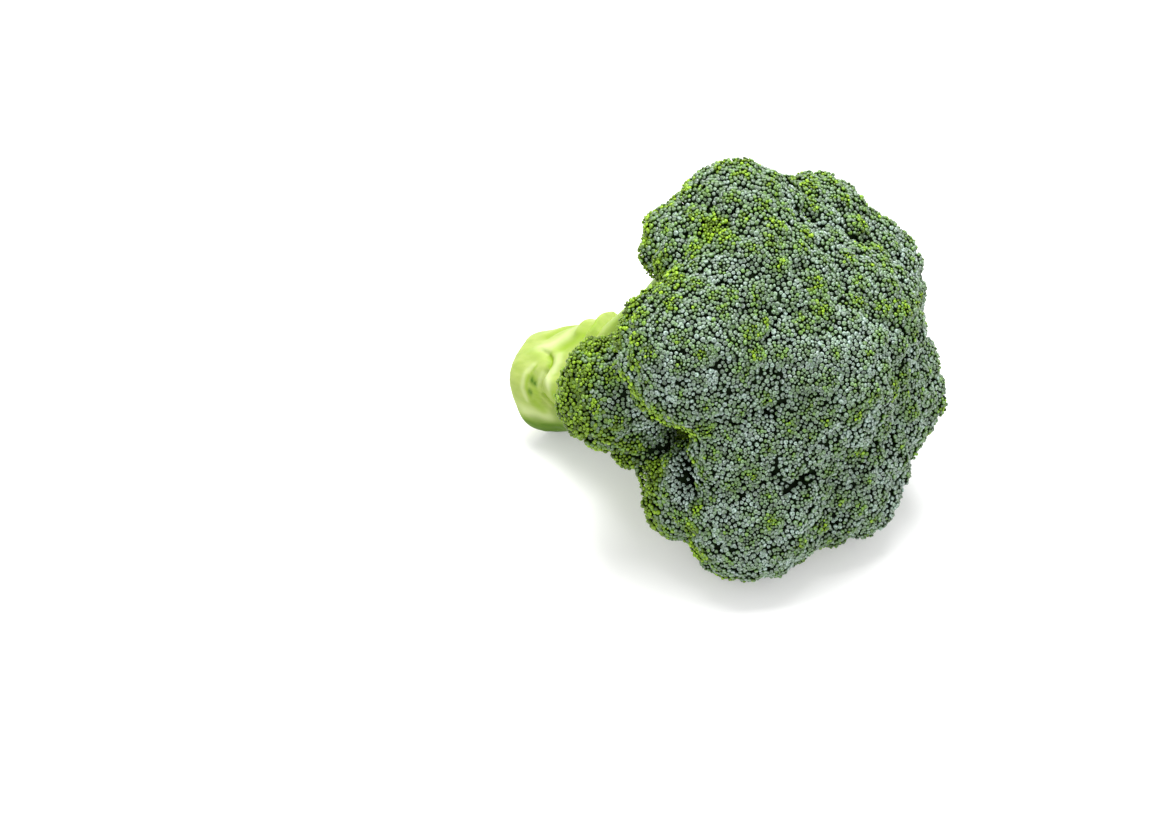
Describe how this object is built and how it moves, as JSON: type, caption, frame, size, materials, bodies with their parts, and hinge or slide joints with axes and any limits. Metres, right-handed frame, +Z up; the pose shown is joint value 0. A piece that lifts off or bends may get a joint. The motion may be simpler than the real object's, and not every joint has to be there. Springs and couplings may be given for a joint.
{
  "type": "broccoli head",
  "caption": "Fresh broccoli head lying on its side: a thick pale-green stalk forks into branches that carry a dome of dark-green florets packed with small flower buds.",
  "frame": {"origin": "under the middle of the head's box, on the surface that the head lies on", "axes": "+X along the lying stalk, from its cut end towards the crown; +Z up from the surface that the head lies on; +Y to the crown's far side"},
  "size_m": [0.1622, 0.1458, 0.135],
  "materials": {
    "flower_buds": "dark green flower buds with a dull waxy bloom",
    "stalk": "pale yellow-green plant skin, satin"
  },
  "bodies": {
    "root": {"stalk": "stalk", "floret_face_middle": "flower_buds", "floret_face_far": "flower_buds", "floret_face_top": "flower_buds", "floret_face_low": "flower_buds", "floret_inner_near": "flower_buds", "floret_near": "flower_buds", "floret_under_near": "flower_buds", "floret_under_front": "flower_buds", "floret_under_far": "flower_buds", "floret_far": "flower_buds", "floret_far_upper": "flower_buds", "floret_top_far": "flower_buds", "floret_top": "flower_buds", "floret_top_back": "flower_buds", "floret_back_upper": "flower_buds", "floret_back_far": "flower_buds", "floret_low_near": "flower_buds", "floret_side_branch": "flower_buds", "floret_side_inner": "flower_buds"}
  },
  "joints": []
}
